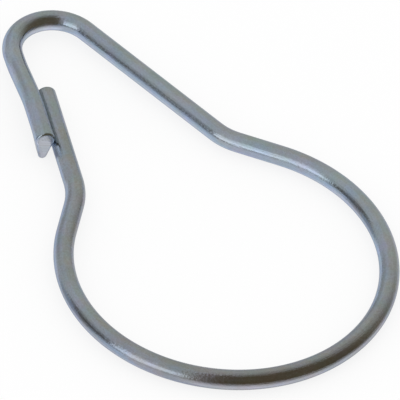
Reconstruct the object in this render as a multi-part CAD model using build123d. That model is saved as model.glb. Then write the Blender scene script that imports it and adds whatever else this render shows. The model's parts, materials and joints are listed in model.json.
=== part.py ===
import os
from math import acos, atan2, cos, degrees, radians, sin, sqrt, tan

from build123d import *

# Shower curtain ring: one length of round wire bent to a pear, whose two ends overlap in a catch.
# It is drawn flat first, with the loop's centre at the origin, +X towards the small end bend and
# the catch on the +Y side. Bend radii and lengths are on the wire's centre line, in mm and degrees.

# Wire
wire_dia = 2.5
cut_end_round = 0.45  # edge of the loop leg's plain cut end

# Pear outline
loop_radius = 20.0
end_bend_radius = 5.3
centre_distance = 41.0  # loop centre to end bend centre
leg_angle = 13.5  # plain leg, to the ring's axis
flank_angle = 39.0  # plain side's flank between loop and shoulder, to the ring's axis
shoulder_radius = 7.0
catch_flank_angle = 42.0  # the catch side's flank leans in more
catch_flank_run = 6.8  # end of the loop to the catch side's shoulder corner
catch_shoulder_radius = 10.0
catch_leg_angle = 18.0  # loop leg in the catch, to the ring's axis

# Catch: the hook leg climbs from the end bend, and then lies outside and above the loop leg
catch_clearance = 0.1  # between the two legs, and in the lip's groove
seat_angle = 31.0  # hook leg above the ring's plane, seen along the loop leg
kink_run = 15.2  # catch side's shoulder corner to the hook leg's kink, along the loop leg
climb_start = 1.8  # end bend to the corner where the hook leg starts to climb
kink_radius = 12.0  # at that corner and at the kink
hook_straight = 1.95  # kink to the hook end
tail = 2.5  # loop leg past the kink

# Lip: the hook leg's end is pressed down round the outside of the loop leg
lip_wrap_angle = 56.5  # lip's tip, from the line between the two wires
lip_tip_radius = 0.55
lip_tip_gap = 0.75  # lip's tip to the groove
lip_tip_length = 1.6  # along the wire
lip_runout_angle = 45.0  # slope of the lip's back, to the wire
lip_root_sink = 0.08  # the lip's sides start this deep in the wire
front_round = 0.3  # edge of the hook leg's front end


def direction(angle):
    return Vector(cos(radians(angle)), sin(radians(angle)), 0)


def lines_meet(start, along, other_start, other_along):
    reach = (other_start - start).cross(other_along).Z / along.cross(other_along).Z
    return start + along * reach


# Corners of the outline: the plain side at -Y, and the catch side at +Y
up = Vector(0, 0, 1)
plain_loop_end = direction(flank_angle - 90) * loop_radius
bend_centre = Vector(centre_distance, 0)
plain_end_bend = bend_centre + direction(leg_angle - 90) * end_bend_radius
plain_shoulder = lines_meet(plain_loop_end, direction(flank_angle), plain_end_bend, direction(leg_angle))
catch_loop_end = direction(90 - catch_flank_angle) * loop_radius
catch_shoulder = catch_loop_end + direction(-catch_flank_angle) * catch_flank_run

# In the catch the two legs run side by side, a wire and a clearance apart
leg_spacing = wire_dia + catch_clearance
catch_along = direction(-catch_leg_angle)
catch_outward = up.cross(catch_along) * cos(radians(seat_angle)) + up * sin(radians(seat_angle))
loop_leg_tip = catch_shoulder + catch_along * (kink_run + tail)
kink = catch_shoulder + catch_along * kink_run + catch_outward * leg_spacing

# The hook leg leaves the end bend where, seen from above, its line to the kink touches the bend
to_kink = Vector(kink.X, kink.Y) - bend_centre
touch_angle = degrees(atan2(to_kink.Y, to_kink.X) - acos(end_bend_radius / to_kink.length))
catch_end_bend = bend_centre + direction(touch_angle) * end_bend_radius
climb = catch_end_bend + direction(touch_angle + 90) * climb_start
hook_leg_down = (kink - climb).normalized()

# Hook end: the hook leg's last stretch with its lip, drawn round the loop leg's axis.
# Local Z runs back along the wire from the front end, and local X points at the hook leg.
groove_radius = wire_dia / 2 + catch_clearance
lip_root = Vector(leg_spacing, 0)
lip_tip = direction(-lip_wrap_angle) * (groove_radius + lip_tip_gap + lip_tip_radius)
lip_drop = lip_tip - lip_root
hook_end_length = lip_tip_length + lip_drop.length / tan(radians(lip_runout_angle))

lip_outline = make_hull(
    (Pos(*lip_root) * Circle(wire_dia / 2 - lip_root_sink)).edges()
    + (Pos(*lip_tip) * Circle(lip_tip_radius)).edges()
)
lip = extrude(lip_outline, hook_end_length)
lip_front_round = min(front_round, lip_tip_radius - lip_root_sink)
lip = fillet(lip.faces().sort_by(Axis.Z)[0].edges(), lip_front_round)
runout_facing = lip_drop.normalized() * cos(radians(lip_runout_angle)) + up * sin(radians(lip_runout_angle))
runout = Plane(lip_tip + up * lip_tip_length, z_dir=runout_facing)
lip = split(lip, bisect_by=runout, keep=Keep.BOTTOM)
lip -= Cylinder(groove_radius, 3 * hook_end_length)  # groove, cut through both ends

hook_end = extrude(Pos(*lip_root) * Circle(wire_dia / 2), hook_end_length)
hook_end = fillet(hook_end.faces().sort_by(Axis.Z)[0].edges(), front_round)
hook_end += lip

kink_turn = hook_leg_down.get_angle(-catch_along)
kink_tangent = kink_radius * tan(radians(kink_turn / 2))
hook_end_back = kink - catch_along * (kink_tangent + hook_straight)
hook_front = hook_end_back - catch_along * hook_end_length
hook_plane = Plane(hook_front - catch_outward * leg_spacing, x_dir=catch_outward, z_dir=catch_along)

# Wire swept along its centre line, from the loop leg's plain cut end to the hook end
loop_leg = FilletPolyline(loop_leg_tip, catch_shoulder, catch_loop_end, radius=catch_shoulder_radius)
loop = ThreePointArc(catch_loop_end, (-loop_radius, 0), plain_loop_end)
plain_leg = FilletPolyline(plain_loop_end, plain_shoulder, plain_end_bend, radius=shoulder_radius)
end_bend = ThreePointArc(plain_end_bend, (centre_distance + end_bend_radius, 0), catch_end_bend)
hook_leg = FilletPolyline(catch_end_bend, climb, kink, hook_end_back, radius=kink_radius)
centre_line = Wire(loop_leg.edges() + loop.edges() + plain_leg.edges() + end_bend.edges() + hook_leg.edges())
wire = sweep(Plane(loop_leg_tip, z_dir=-catch_along) * Circle(wire_dia / 2), path=centre_line)
wire = fillet(wire.faces().sort_by_distance(loop_leg_tip)[0].edges(), cut_end_round)
flat_ring = wire + hook_plane * hook_end

# Rest: the ring lies on the lip's tip and on the loop's rim, with its weight between the two,
# and leans towards that rim by the depth that the lip reaches below the wire
lip_foot = hook_plane.from_local_coords(lip_tip + up * lip_tip_length / 2)
lip_depth = lip_tip_radius - lip_foot.Z - wire_dia / 2
lip_place = Vector(lip_foot.X, lip_foot.Y)
weight = flat_ring.center(CenterOf.MASS)
across = (Vector(weight.X, weight.Y) - lip_place).normalized()
half_chord = sqrt(loop_radius**2 - lip_place.cross(across).Z ** 2)
rim_place = lip_place + across * (half_chord - lip_place.dot(across))
lean = rim_place.normalized()
rest_tilt = degrees(atan2(lip_depth, (rim_place - lip_place).dot(lean)))
ring = flat_ring.rotate(Axis((0, 0, 0), up.cross(lean)), rest_tilt)

# Origin on the surface the ring lies on, under the middle of its outline
box = ring.bounding_box()
ring = Pos(-box.center().X, -box.center().Y, -box.min.Z) * ring

os.makedirs("parts", exist_ok=True)
export_step(ring, "parts/wire_ring.step")
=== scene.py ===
import json
from math import acos, atan2, cos, degrees, pi, radians, sin, tan

import bmesh
import bpy
from mathutils import Matrix, Vector


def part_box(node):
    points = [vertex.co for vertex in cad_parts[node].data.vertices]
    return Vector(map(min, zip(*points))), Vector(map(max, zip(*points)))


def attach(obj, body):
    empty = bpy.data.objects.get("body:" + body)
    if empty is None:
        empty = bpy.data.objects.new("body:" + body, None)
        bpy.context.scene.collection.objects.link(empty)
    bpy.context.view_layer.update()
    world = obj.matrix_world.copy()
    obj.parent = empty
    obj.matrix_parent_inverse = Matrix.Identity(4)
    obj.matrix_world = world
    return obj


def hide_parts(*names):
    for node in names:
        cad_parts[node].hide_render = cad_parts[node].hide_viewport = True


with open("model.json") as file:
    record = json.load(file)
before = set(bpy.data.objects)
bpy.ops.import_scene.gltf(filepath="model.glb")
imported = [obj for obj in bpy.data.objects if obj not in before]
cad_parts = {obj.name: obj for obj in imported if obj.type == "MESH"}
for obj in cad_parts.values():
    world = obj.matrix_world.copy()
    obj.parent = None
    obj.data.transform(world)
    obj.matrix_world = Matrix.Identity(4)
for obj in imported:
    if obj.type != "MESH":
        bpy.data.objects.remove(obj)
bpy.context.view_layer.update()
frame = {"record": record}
scene = bpy.context.scene
scene.view_settings.view_transform = "Standard"
print("frame loaded")

up = Vector((0, 0, 1))
millimetres = 1000  # to the metre


def heading(angle):
    return Vector((cos(radians(angle)), sin(radians(angle)), 0))


def meshPiece(name, bm):
    mesh = bpy.data.meshes.new(name)
    bm.to_mesh(mesh)
    bm.free()
    piece = bpy.data.objects.new(name, mesh)
    scene.collection.objects.link(piece)
    return piece


# ring: one length of wire, bent flat round the loop's centre with the catch at +Y, and laid down at the end
# metres and degrees, bend radii on the wire's centre line
wire = {
    "radius": 0.00125,
    "loop": 0.020,
    "centres": 0.041,  # loop centre to end bend centre
    "endBend": 0.0053,
    "legAngle": 13.5,  # angles are to the ring's axis
    "flankAngle": 39,
    "shoulder": 0.007,
    "catchFlankAngle": 42,
    "catchRun": 0.0068,  # end of the loop to the catch side's shoulder
    "catchShoulder": 0.010,
    "catchLegAngle": 18,
    "clearance": 0.0001,  # between the two legs in the catch, and in the lip's groove
    "seatAngle": 31,  # hook leg above the ring's plane, seen along the loop leg
    "kinkRun": 0.0152,  # catch side's shoulder to the hook leg's kink
    "kink": 0.012,
    "climbStart": 0.0018,  # end bend to where the hook leg starts to climb
    "straight": 0.00195,  # kink to the hook end
    "tail": 0.0025,  # loop leg past the kink
    "cutRound": 0.00045,  # edge of the loop leg's cut end
    "frontRound": 0.0003,  # edge of the hook leg's front end, and of the lip's
    "sides": 56,
    "chord": 0.0005,  # mesh step along a bend
    "endBendChord": 0.00025,
    "hookSteps": 48,  # mesh steps along the hook end
    "roundSteps": 8,  # mesh steps round such an edge
    "sharpAngle": 32,  # edges sharper than this stay crisp
}
lip = {
    "wrapAngle": 56.5,  # tip, from the line between the two legs
    "tipRadius": 0.00055,
    "tipGap": 0.00075,  # tip to groove
    "tipLength": 0.0016,  # along the wire
    "sink": 0.00008,  # its sides start this deep in the wire
    "sides": 40,
    "grooveSides": 96,
    "flatAngle": 0.5,  # faces this close to level become one
    "sliver": 2e-6,  # shorter edges left by the join are closed
}

# corners of the outline
flankWay = heading(wire["flankAngle"])
legWay = heading(wire["legAngle"])
plainLoopEnd = heading(wire["flankAngle"] - 90) * wire["loop"]
bendCentre = Vector((wire["centres"], 0, 0))
plainEndBend = bendCentre + heading(wire["legAngle"] - 90) * wire["endBend"]
flankRun = (plainEndBend - plainLoopEnd).cross(legWay).z / flankWay.cross(legWay).z
plainShoulder = plainLoopEnd + flankWay * flankRun
catchFlankWay = heading(-wire["catchFlankAngle"])
catchLoopEnd = heading(90 - wire["catchFlankAngle"]) * wire["loop"]
catchShoulder = catchLoopEnd + catchFlankWay * wire["catchRun"]

# in the catch the hook leg lies outside and above the loop leg
spacing = 2 * wire["radius"] + wire["clearance"]
seat = radians(wire["seatAngle"])
catchWay = heading(-wire["catchLegAngle"])
catchOut = up.cross(catchWay) * cos(seat) + up * sin(seat)
tip = catchShoulder + catchWay * (wire["kinkRun"] + wire["tail"])
kink = catchShoulder + catchWay * wire["kinkRun"] + catchOut * spacing
toKink = (kink - bendCentre).to_2d()
touch = degrees(atan2(toKink.y, toKink.x) - acos(wire["endBend"] / toKink.length))  # end of the end bend
climb = bendCentre + heading(touch) * wire["endBend"] + heading(touch + 90) * wire["climbStart"]
climbWay = (kink - climb).normalized()

# section of the hook end: loop leg's axis at the origin, x towards the hook leg
grooveRadius = wire["radius"] + wire["clearance"]
lipRoot = Vector((spacing, 0, 0))
lipTip = heading(-lip["wrapAngle"]) * (grooveRadius + lip["tipGap"] + lip["tipRadius"])
lipDrop = lipTip - lipRoot
hookEnd = lip["tipLength"] + lipDrop.length  # the lip's back slopes at 45 degrees
kinkTangent = wire["kink"] * tan(climbWay.angle(-catchWay) / 2)
front = kink - catchWay * (kinkTangent + wire["straight"] + hookEnd)

# quarter turn of a rounded edge
quarter = [pi / 2 * step / wire["roundSteps"] for step in range(wire["roundSteps"] + 1)]

# wire bender: the wire's rim starts at the cut end, and is fed straight on or spun round a bend
bm = bmesh.new()
grain = bm.verts.layers.float_vector.new("grain")  # mm, round the wire in x and y and along it in z
start = Matrix.Translation(tip) @ (-catchWay).to_track_quat("Z", "Y").to_matrix().to_4x4()
bmesh.ops.create_circle(bm, cap_ends=False, segments=wire["sides"], radius=wire["radius"], matrix=start)
for v in bm.verts:
    v[grain] = start.inverted() @ v.co * millimetres
cutBack = -catchWay * wire["cutRound"]  # room for the cut end's rounded edge
bmesh.ops.translate(bm, verts=list(bm.verts), vec=cutBack)
cutRim = list(bm.edges)
pen = {"at": tip + cutBack, "way": -catchWay, "along": wire["cutRound"], "rim": cutRim}


def vertsIn(geom):
    return [v for v in geom if isinstance(v, bmesh.types.BMVert)]


def rimIn(geom):
    return [e for e in geom if isinstance(e, bmesh.types.BMEdge) and e.is_boundary]


def grown(geom):
    pen["rim"] = rimIn(geom)
    for v in {v for e in pen["rim"] for v in e.verts}:
        v[grain] = (*v[grain].xy, pen["along"] * millimetres)


def feed(length, steps=1):
    for step in range(steps):
        made = bmesh.ops.extrude_edge_only(bm, edges=pen["rim"])["geom"]
        bmesh.ops.translate(bm, verts=vertsIn(made), vec=pen["way"] * length / steps)
        pen["at"] = pen["at"] + pen["way"] * length / steps
        pen["along"] += length / steps
        grown(made)


def bend(radius, axis, turn, chord=wire["chord"]):
    centre = pen["at"] + axis.cross(pen["way"]) * radius
    steps = round(turn * radius / chord)
    angle = turn / steps
    turning = Matrix.Rotation(angle, 3, axis)
    for step in range(steps):
        made = bmesh.ops.spin(
            bm, geom=pen["rim"], cent=centre, axis=axis, dvec=(0, 0, 0), angle=angle, steps=1, use_merge=False
        )
        pen["at"] = centre + turning @ (pen["at"] - centre)
        pen["way"] = turning @ pen["way"]
        pen["along"] += angle * radius
        grown(made["geom_last"])


def feedRound(corner, radius, newWay):
    turn = pen["way"].angle(newWay)
    feed((corner - pen["at"]).length - radius * tan(turn / 2))
    bend(radius, pen["way"].cross(newWay).normalized(), turn)


def roundOff(rim, at, way, radius):
    for turn, nextTurn in zip(quarter, quarter[1:]):
        made = bmesh.ops.extrude_edge_only(bm, edges=rim)["geom"]
        rise = way * radius * (sin(nextTurn) - sin(turn))
        bmesh.ops.translate(bm, verts=vertsIn(made), vec=rise)
        at = at + rise
        wide, nextWide = [wire["radius"] - radius * (1 - cos(t)) for t in (turn, nextTurn)]
        shrink = Vector((1, 1, 1)) * nextWide / wide
        bmesh.ops.scale(bm, verts=vertsIn(made), vec=shrink, space=Matrix.Translation(-at))
        rim = rimIn(made)
    bmesh.ops.edgeloop_fill(bm, edges=rim)


feedRound(catchShoulder, wire["catchShoulder"], -catchFlankWay)
feed((catchLoopEnd - pen["at"]).length)
bend(wire["loop"], up, radians(180 + wire["flankAngle"] + wire["catchFlankAngle"]))
feedRound(plainShoulder, wire["shoulder"], legWay)
feed((plainEndBend - pen["at"]).length)
bend(wire["endBend"], up, radians(90 + touch - wire["legAngle"]), wire["endBendChord"])
feedRound(climb, wire["kink"], climbWay)
feedRound(kink, wire["kink"], -catchWay)
feed((front - pen["at"]).length - wire["frontRound"], wire["hookSteps"])
roundOff(pen["rim"], pen["at"], pen["way"], wire["frontRound"])
roundOff(cutRim, tip + cutBack, catchWay, wire["cutRound"])
bmesh.ops.recalc_face_normals(bm, faces=list(bm.faces))
ring = meshPiece("ring", bm)
print("wire bent", round(pen["along"] * millimetres, 2), "mm")

# lip: hull of wire and tip circles with its front edge rounded, its back sloped off and its groove cut
sections = [(wire["frontRound"] * (1 - cos(t)), wire["frontRound"] * (1 - sin(t))) for t in quarter]
sections.append((hookEnd, 0))
bm = bmesh.new()
for depth, shrink in sections:
    for centre, radius in ((lipRoot, wire["radius"] - lip["sink"]), (lipTip, lip["tipRadius"])):
        place = Matrix.Translation(centre + up * depth)
        bmesh.ops.create_circle(bm, segments=lip["sides"], radius=radius - shrink, matrix=place)
hull = bmesh.ops.convex_hull(bm, input=list(bm.verts), use_existing_faces=False)
bmesh.ops.delete(bm, geom=list({*hull["geom_interior"], *hull["geom_unused"]}), context="VERTS")
cut = bmesh.ops.bisect_plane(
    bm, geom=[*bm.verts, *bm.edges, *bm.faces], plane_co=lipTip + up * lip["tipLength"],
    plane_no=(lipDrop.normalized() + up).normalized(), clear_outer=True,
)
bmesh.ops.edgeloop_fill(bm, edges=[e for e in cut["geom_cut"] if isinstance(e, bmesh.types.BMEdge)])
flatLimit = radians(lip["flatAngle"])
bmesh.ops.dissolve_limit(bm, angle_limit=flatLimit, verts=list(bm.verts), edges=list(bm.edges))
bmesh.ops.recalc_face_normals(bm, faces=list(bm.faces))
hookAxes = Matrix((catchOut, catchWay.cross(catchOut), catchWay)).transposed().to_4x4()
hookPlace = Matrix.Translation(front - catchOut * spacing) @ hookAxes
bmesh.ops.transform(bm, matrix=hookPlace, verts=list(bm.verts))
lipTool = meshPiece("lipTool", bm)

bm = bmesh.new()
bmesh.ops.create_cone(
    bm, cap_ends=True, segments=lip["grooveSides"], radius1=grooveRadius, radius2=grooveRadius,
    depth=4 * hookEnd, matrix=hookPlace,  # through both ends of the lip
)
grooveTool = meshPiece("grooveTool", bm)

for piece, operation, tool in ((lipTool, "DIFFERENCE", grooveTool), (ring, "UNION", lipTool)):
    boolean = piece.modifiers.new(tool.name, "BOOLEAN")
    boolean.operation = operation
    boolean.object = tool
    boolean.solver = "EXACT"
bentMesh = ring.data
ringMesh = bpy.data.meshes.new_from_object(ring.evaluated_get(bpy.context.evaluated_depsgraph_get()))
ring.modifiers.clear()
ring.data = ringMesh
for tool in (lipTool, grooveTool):
    bpy.data.objects.remove(tool)
bpy.data.meshes.remove(bentMesh)
ringMesh.name = "ring"

bm = bmesh.new()
bm.from_mesh(ringMesh)
bmesh.ops.dissolve_degenerate(bm, dist=lip["sliver"], edges=list(bm.edges))
bmesh.ops.triangulate(bm, faces=[f for f in bm.faces if len(f.verts) > 4])
grain = bm.verts.layers.float_vector["grain"]
toHook = hookPlace.inverted()
for v in bm.verts:
    if v[grain].xy.length == 0:  # the lip's own points take the hook leg's grain
        local = toHook @ v.co - lipRoot
        v[grain] = Vector((local.x, local.y, pen["along"] - local.z)) * millimetres

# laid down as the CAD part rests: its lean from the loop's mount, its place from the node's box
rodLoop = next(m for m in frame["record"]["mounts"] if m["name"] == "rod_loop")
lean = up.rotation_difference(Vector(rodLoop["axis"])).to_matrix()
bmesh.ops.rotate(bm, verts=list(bm.verts), cent=(0, 0, 0), matrix=lean)
low = Vector([min(v.co[i] for v in bm.verts) for i in range(3)])
high = Vector([max(v.co[i] for v in bm.verts) for i in range(3)])
cadLow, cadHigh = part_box("wire_ring")
move = (cadLow + cadHigh - low - high) / 2
move.z = cadLow.z - low.z
bmesh.ops.translate(bm, verts=list(bm.verts), vec=move)
bm.to_mesh(ringMesh)
bm.free()
ringMesh.shade_smooth()
ringMesh.set_sharp_from_angle(angle=radians(wire["sharpAngle"]))
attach(ring, "root")
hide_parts("wire_ring")
print("lip joined", len(ringMesh.polygons), "faces")


def addNode(tree, kind, sockets, **settings):
    node = tree.nodes.new("ShaderNode" + kind)
    for name, setting in settings.items():
        setattr(node, name, setting)
    for socket, source in sockets.items():
        if isinstance(source, bpy.types.NodeSocket):
            tree.links.new(source, node.inputs[socket])
        else:
            node.inputs[socket].default_value = source
    return node


def worked(tree, operation, *values):
    return addNode(tree, "Math", dict(enumerate(values)), operation=operation).outputs["Value"]


def faded(tree, value, fade, ends=(0, 1), curve="SMOOTHSTEP"):
    sockets = {"Value": value, "From Min": fade[0], "From Max": fade[1], "To Min": ends[0], "To Max": ends[1]}
    return addNode(tree, "MapRange", sockets, interpolation_type=curve).outputs["Result"]


# plated wire: draw lines along it, fine peel in the plating, and a blue-grey tint that drifts
# noise scales are to the mm, round the wire twice and then along it
plating = {
    "tints": [(0.25, (0.47, 0.47, 0.505, 1)), (0.5, (0.52, 0.56, 0.635, 1)), (0.75, (0.57, 0.64, 0.735, 1))],
    "edge": (0.62, 0.64, 0.67, 1),
    "drift": (0.5, 0.5, 0.16), "driftDetail": 2, "driftShare": 0.5,
    "lines": (7, 7, 0.22), "linesDetail": 4,
    "peel": (4.5, 4.5, 3.2), "peelDetail": 3, "peelShare": 0.6,
    "film": (0.5, 0.5, 0.45), "filmDetail": 2, "filmShare": (0.34, 0.12, 0.36),  # a faint rainbow
    "legs": (82, 102), "legTint": (-0.15, 0.02),  # mm along the wire where the grey loop turns to bluer legs
    "bottom": 62, "bottomFade": (6, 24), "bottomTint": (-0.12, 0.05),  # mm; the loop is greyest here
    "roughness": (0.08, 0.2), "roughnessFrom": (0.3, 0.7),  # over this much of the draw lines
    "bump": 0.42, "bumpDepth": 0.00005,
}
plated = bpy.data.materials.new("platedWire")
plated.use_nodes = True
tree = plated.node_tree
grainAt = addNode(tree, "Attribute", {}, attribute_name="grain").outputs["Vector"]


def grainNoise(name, output="Fac"):
    stretch = addNode(tree, "Mapping", {"Vector": grainAt, "Scale": plating[name]})
    sockets = {"Vector": stretch.outputs["Vector"], "Scale": 1, "Detail": plating[name + "Detail"]}
    return addNode(tree, "TexNoise", sockets).outputs[output]


drift = grainNoise("drift")
lines = grainNoise("lines")
peel = grainNoise("peel")
along = addNode(tree, "SeparateXYZ", {"Vector": grainAt}).outputs["Z"]
fromBottom = worked(tree, "ABSOLUTE", worked(tree, "SUBTRACT", along, plating["bottom"]))
bottomTint = faded(tree, fromBottom, plating["bottomFade"], plating["bottomTint"])
tintAt = faded(tree, along, plating["legs"], plating["legTint"])
for part, share in ((bottomTint, 1), (drift, plating["driftShare"]), (peel, plating["peelShare"])):
    tintAt = worked(tree, "MULTIPLY_ADD", part, share, tintAt)
tint = addNode(tree, "ValToRGB", {"Fac": tintAt})
tint.color_ramp.elements.new(0.5)
for stop, (position, color) in zip(tint.color_ramp.elements, plating["tints"]):
    stop.position = position
    stop.color = color
filmBase = [1 - part / 2 for part in plating["filmShare"]]  # leaves the tint as it is on average
sockets = {0: grainNoise("film", "Color"), 1: plating["filmShare"], 2: filmBase}
film = addNode(tree, "VectorMath", sockets, operation="MULTIPLY_ADD")
sockets = {0: tint.outputs["Color"], 1: film.outputs["Vector"]}
filmed = addNode(tree, "VectorMath", sockets, operation="MULTIPLY")
rough = faded(tree, lines, plating["roughnessFrom"], plating["roughness"], "LINEAR")
height = worked(tree, "ADD", lines, peel)
sockets = {"Height": height, "Strength": plating["bump"], "Distance": plating["bumpDepth"]}
bump = addNode(tree, "Bump", sockets)
metal = tree.nodes["Principled BSDF"]
metal.inputs["Metallic"].default_value = 1
metal.inputs["Specular Tint"].default_value = plating["edge"]
tree.links.new(filmed.outputs["Vector"], metal.inputs["Base Color"])
tree.links.new(rough, metal.inputs["Roughness"])
tree.links.new(bump.outputs["Normal"], metal.inputs["Normal"])
ringMesh.materials.clear()
ringMesh.materials.append(plated)
print("wire finish made")

# white floor that keeps the ring's shadow; in reflections the room below stands in for it
floor = {
    "size": 3.0,
    "color": (0.98, 0.98, 0.98, 1),
    "white": 0.8,  # share of plain white that the camera sees in it
}
bm = bmesh.new()
bmesh.ops.create_grid(bm, x_segments=1, y_segments=1, size=floor["size"] / 2)
floorPiece = meshPiece("floor", bm)
floorPiece.visible_glossy = False
paper = bpy.data.materials.new("paper")
paper.use_nodes = True
tree = paper.node_tree
matt = tree.nodes["Principled BSDF"]
matt.inputs["Base Color"].default_value = floor["color"]
matt.inputs["Roughness"].default_value = 1
matt.inputs["Specular IOR Level"].default_value = 0
white = addNode(tree, "Emission", {})
cameraRay = addNode(tree, "LightPath", {}).outputs["Is Camera Ray"]
whiteShare = worked(tree, "MULTIPLY", cameraRay, floor["white"])
sockets = {"Fac": whiteShare, 1: matt.outputs["BSDF"], 2: white.outputs["Emission"]}
shown = addNode(tree, "MixShader", sockets)
tree.links.new(shown.outputs["Shader"], tree.nodes["Material Output"].inputs["Surface"])
floorPiece.data.materials.append(paper)

# studio room: what the metal shows, and a plain light for the rest
# each patch: color, azimuth, fade round it (cosines) and any fades by level, from 1 straight up to -1 down
room = {
    "ambient": (1, 1, 1, 1),
    "backdrop": (1, 1, 1, 1),
    "shade": (0.108, 0.087, 0.052, 1),  # dark side behind the camera
    "walls": [
        ((0.455, 0.46, 0.405, 1), 10, (-0.85, 0.42)),  # far wall
        ((0.455, 0.475, 0.48, 1), 55, (-0.1, 0.6)),  # side wall
        ((0.36, 0.37, 0.36, 1), 4, (0.95, 0.99), (0.6, 0.35), (-0.08, 0.1)),  # dimmer stretch of the far wall
        ((0.115, 0.112, 0.105, 1), 64, (0.88, 0.975), (0.8, 0.2)),  # post
        ((1.0, 1.07, 1.14, 1), 104.5, (0.885, 0.957), (0.88, 0.3), (-0.12, 0.16)),  # window
    ],
    "table": (0.9, 0.9, 0.94, 1),
    "tableFade": (0.02, -0.92),
    "patches": [
        ((0.6, 0.63, 0.68, 1), 102, (0.86, 0.97), (-0.15, -0.4)),  # shade under the window
        ((0.58, 0.66, 0.77, 1), 76, (0.965, 0.995), (0.12, -0.5)),  # light at the post's foot
        ((0.73, 0.81, 0.93, 1), 7, (0.93, 0.985), (0.2, -0.5)),  # light under the far wall
        ((0.31, 0.35, 0.41, 1), 41, (0.965, 0.994), (0.12, -0.1), (-0.75, -0.3)),  # shade between those two
        ((0.85, 0.85, 0.87, 1), 250, (0.8, 0.97), (-0.3, -0.72)),  # light on the table, camera's right
        ((0.8, 0.79, 0.78, 1), 308, (0.78, 0.96), (0.3, -0.7)),  # light on the table, far side
        ((0.28, 0.28, 0.25, 1), 288, (0.75, 0.98), (0.6, 0.95)),  # dim ceiling
    ],
}
world = bpy.data.worlds.new("studio")
scene.world = world
world.use_nodes = True
tree = world.node_tree
tree.nodes.clear()
coords = addNode(tree, "TexCoord", {})
split = addNode(tree, "SeparateXYZ", {"Vector": coords.outputs["Generated"]})
level = split.outputs["Z"]
flat = addNode(tree, "CombineXYZ", {"X": split.outputs["X"], "Y": split.outputs["Y"]})
compass = addNode(tree, "VectorMath", {0: flat.outputs["Vector"]}, operation="NORMALIZE")


def towards(azimuth, fade, *levels):
    sockets = {0: compass.outputs["Vector"], 1: heading(azimuth)}
    nearness = addNode(tree, "VectorMath", sockets, operation="DOT_PRODUCT")
    mask = faded(tree, nearness.outputs["Value"], fade)
    for levelFade in levels:
        mask = worked(tree, "MULTIPLY", mask, faded(tree, level, levelFade))
    return mask


def layer(below, factor, above):
    sockets = {"Factor": factor, "A": below, "B": above}
    return addNode(tree, "Mix", sockets, data_type="RGBA").outputs["Result"]


seen = room["shade"]
for color, *place in room["walls"]:
    seen = layer(seen, towards(*place), color)
seen = layer(seen, faded(tree, level, room["tableFade"]), room["table"])
for color, *place in room["patches"]:
    seen = layer(seen, towards(*place), color)
ray = addNode(tree, "LightPath", {})
lit = layer(room["ambient"], ray.outputs["Is Glossy Ray"], seen)
lit = layer(lit, ray.outputs["Is Camera Ray"], room["backdrop"])
background = addNode(tree, "Background", {"Color": lit})
addNode(tree, "OutputWorld", {"Surface": background.outputs["Background"]})

# long lens at the photo's viewing angle
camera = {"at": (-1.263018, 0.881798, 1.548200), "turn": (44.7446, -3.8060, -121.2239), "lens": 1600}
cameraData = bpy.data.cameras.new("camera")
cameraData.lens = camera["lens"]
cameraPiece = bpy.data.objects.new("camera", cameraData)
cameraPiece.location = camera["at"]
cameraPiece.rotation_euler = [radians(angle) for angle in camera["turn"]]
scene.collection.objects.link(cameraPiece)
scene.camera = cameraPiece
print("studio set")
